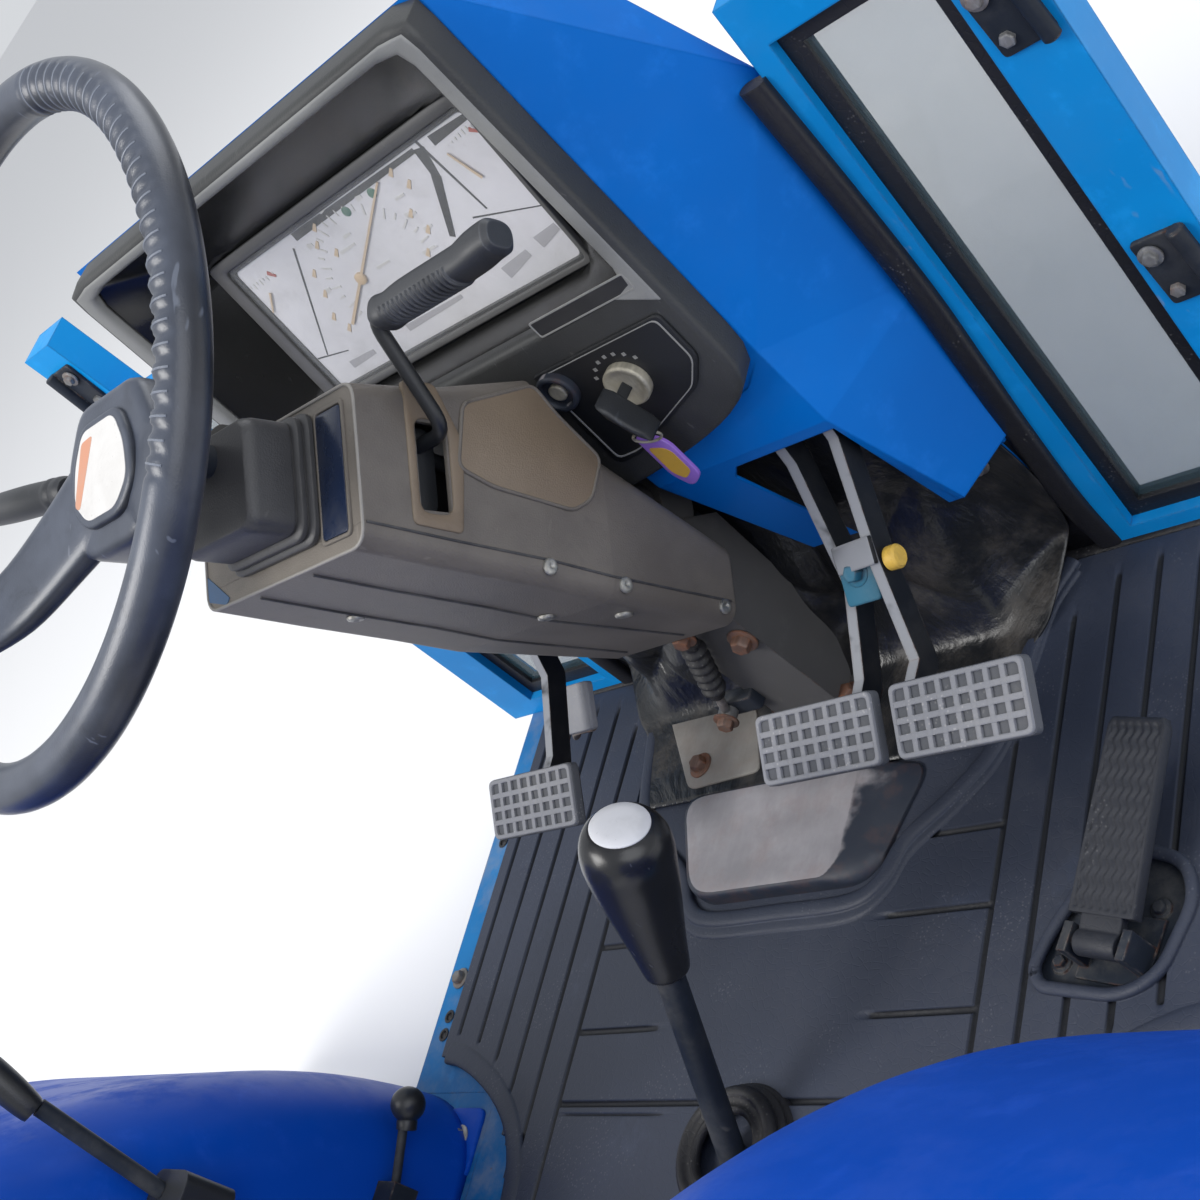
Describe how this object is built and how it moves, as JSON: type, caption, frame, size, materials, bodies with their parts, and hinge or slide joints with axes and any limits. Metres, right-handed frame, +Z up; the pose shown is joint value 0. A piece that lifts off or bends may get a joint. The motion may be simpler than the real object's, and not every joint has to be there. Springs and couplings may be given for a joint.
{
  "type": "tractor operator platform",
  "caption": "Operator's platform of a small farm tractor: matted deck, pedals, levers, steering column and wheel, instrument cowl, rear fenders and front corner windows.",
  "frame": {"origin": "centre of the four chassis bolts, on the underside of the two cross members", "axes": "+X to the operator's right, +Y forward, +Z up"},
  "size_m": [1.38, 1.5561, 0.7597],
  "materials": {
    "deck_paint": "blue paint, scuffed",
    "cowl_paint": "bright blue paint",
    "fender_paint": "deep blue paint",
    "frame_paint": "azure paint",
    "latch_paint": "blue-grey paint, worn",
    "worn_steel": "bare, scratched, rusty edges",
    "dark_steel": "black paint, chipped",
    "mat_rubber": "dusty ribbed rubber",
    "vinyl": "shiny black vinyl",
    "pod_plastic": "dark grey, grained",
    "dial_sheet": "grey printed sheet",
    "clear_lens": "clear",
    "black_plastic": "satin black",
    "switch_metal": "dull nickel",
    "column_plastic": "sun-faded grey brown",
    "boot_rubber": "black",
    "seal_rubber": "black gasket",
    "window_glass": "clear, faint green",
    "wheel_plastic": "black, worn bright on the rim",
    "hub_sticker": "bare sticker",
    "pad_rubber": "grey, worn waffle",
    "knob_plastic": "black",
    "cap_plastic": "white"
  },
  "bodies": {
    "platform": {"deck_pan": "deck_paint", "cross_member_front": "deck_paint", "cross_member_rear": "deck_paint", "floor_mat": "mat_rubber", "hump_cover": "worn_steel", "firewall_cover": "vinyl", "bulkhead": "cowl_paint", "cowl": "cowl_paint", "pod_housing": "pod_plastic", "gauge_face": "dial_sheet", "gauge_lens": "clear_lens", "switch_panel": "black_plastic", "ignition_switch": "switch_metal", "ignition_key": "black_plastic", "lighter_socket": "black_plastic", "column_cover_upper": "column_plastic", "column_cover_lower": "column_plastic", "column_collar": "column_plastic", "column_plate": "black_plastic", "column_tube": "dark_steel", "column_base": "dark_steel", "throttle_bracket": "dark_steel", "shuttle_post": "dark_steel", "pedal_bracket": "dark_steel", "pedal_shaft": "worn_steel", "accelerator_base": "dark_steel", "gear_boot": "boot_rubber", "gear_socket": "dark_steel", "fender_left": "fender_paint", "fender_right": "fender_paint", "fender_console": "black_plastic", "range_lever": "dark_steel", "range_lever_ball": "black_plastic", "position_lever": "dark_steel", "position_grip": "black_plastic", "window_frame_left": "frame_paint", "window_frame_right": "frame_paint", "window_gasket_left": "seal_rubber", "window_gasket_right": "seal_rubber", "window_glass_left": "window_glass", "window_glass_right": "window_glass"},
    "steering_wheel": {"wheel_rim": "wheel_plastic", "wheel_spokes": "wheel_plastic", "wheel_hub_pad": "hub_sticker", "steering_shaft": "worn_steel"},
    "clutch_pedal": {"clutch_arm": "dark_steel", "clutch_pad": "pad_rubber"},
    "brake_pedals": {"brake_left_arm": "dark_steel", "brake_left_pad": "pad_rubber", "brake_right_arm": "dark_steel", "brake_right_pad": "pad_rubber", "brake_latch": "latch_paint"},
    "accelerator": {"accelerator_pedal": "pad_rubber"},
    "hand_throttle": {"throttle_lever": "dark_steel", "throttle_grip": "black_plastic"},
    "shuttle": {"shuttle_lever": "dark_steel", "shuttle_grip": "black_plastic"},
    "gear_lever": {"gear_shaft": "dark_steel", "gear_knob": "knob_plastic", "gear_knob_cap": "cap_plastic"}
  },
  "joints": [
    {"name": "steering", "type": "hinge", "parent": "platform", "child": "steering_wheel", "pos_m": [0, 0.047, 0.662], "axis": [0, -0.4602, 0.8878], "range_deg": [-540, 540]},
    {"name": "clutch_pivot", "type": "hinge", "parent": "platform", "child": "clutch_pedal", "pos_m": [-0.154, 0.264, 0.322], "axis": [1, 0, 0], "range_deg": [0, 20], "stiffness_Nm_per_rad": 12, "springref_deg": -8.59},
    {"name": "brake_pivot", "type": "hinge", "parent": "platform", "child": "brake_pedals", "pos_m": [0.172, 0.264, 0.322], "axis": [1, 0, 0], "range_deg": [0, 20], "stiffness_Nm_per_rad": 24, "springref_deg": -8.59},
    {"name": "accelerator_pivot", "type": "hinge", "parent": "platform", "child": "accelerator", "pos_m": [0.276, -0.008, 0.074], "axis": [0.9744, -0.225, 0], "range_deg": [-10, 0], "stiffness_Nm_per_rad": 1, "springref_deg": 8.59},
    {"name": "throttle_pivot", "type": "hinge", "parent": "platform", "child": "hand_throttle", "pos_m": [0.065, 0.15856, 0.40332], "axis": [1, 0, 0], "range_deg": [0, 23]},
    {"name": "shuttle_pivot", "type": "hinge", "parent": "platform", "child": "shuttle", "pos_m": [-0.03, 0.09111, 0.58124], "axis": [0, -0.4602, 0.8878], "range_deg": [-12, 12]},
    {"name": "gear_pivot", "type": "hinge", "parent": "platform", "child": "gear_lever", "pos_m": [0, -0.145, 0.03], "axis": [1, 0, 0], "range_deg": [-8, 8]}
  ]
}
